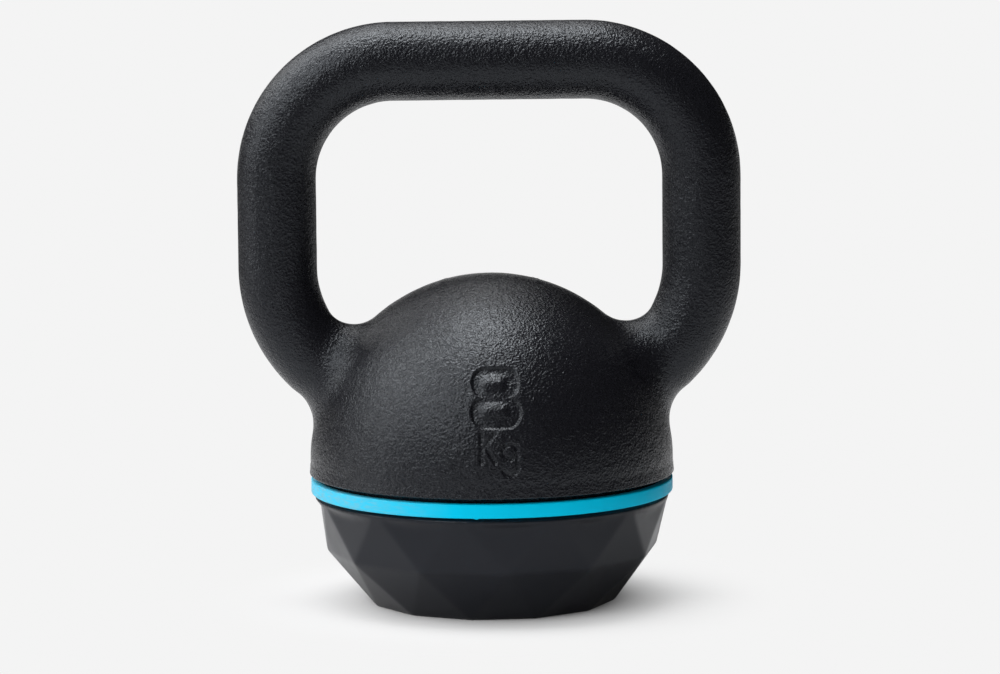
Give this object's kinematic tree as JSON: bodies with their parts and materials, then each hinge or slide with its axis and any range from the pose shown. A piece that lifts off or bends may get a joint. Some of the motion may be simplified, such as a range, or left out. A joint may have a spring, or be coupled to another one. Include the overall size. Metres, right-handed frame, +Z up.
{
  "type": "kettlebell",
  "caption": "Iron kettlebell with a squared loop handle, a coloured ring round the neck and a faceted rubber foot.",
  "frame": {"origin": "centre of the tread, on the surface that the kettlebell stands on", "axes": "+Z up, X along the handle's bar, the mass mark faces -Y"},
  "size_m": [0.182, 0.1324, 0.2105],
  "materials": {
    "coated_iron": "matte",
    "ring_plastic": "satin",
    "foot_rubber": "satin",
    "screw_steel": "satin",
    "washer_steel": "satin"
  },
  "bodies": {
    "root": {"bell_casting": "coated_iron", "colour_ring": "ring_plastic", "rubber_foot": "foot_rubber", "foot_screws": "screw_steel", "foot_washers": "washer_steel"}
  },
  "joints": []
}
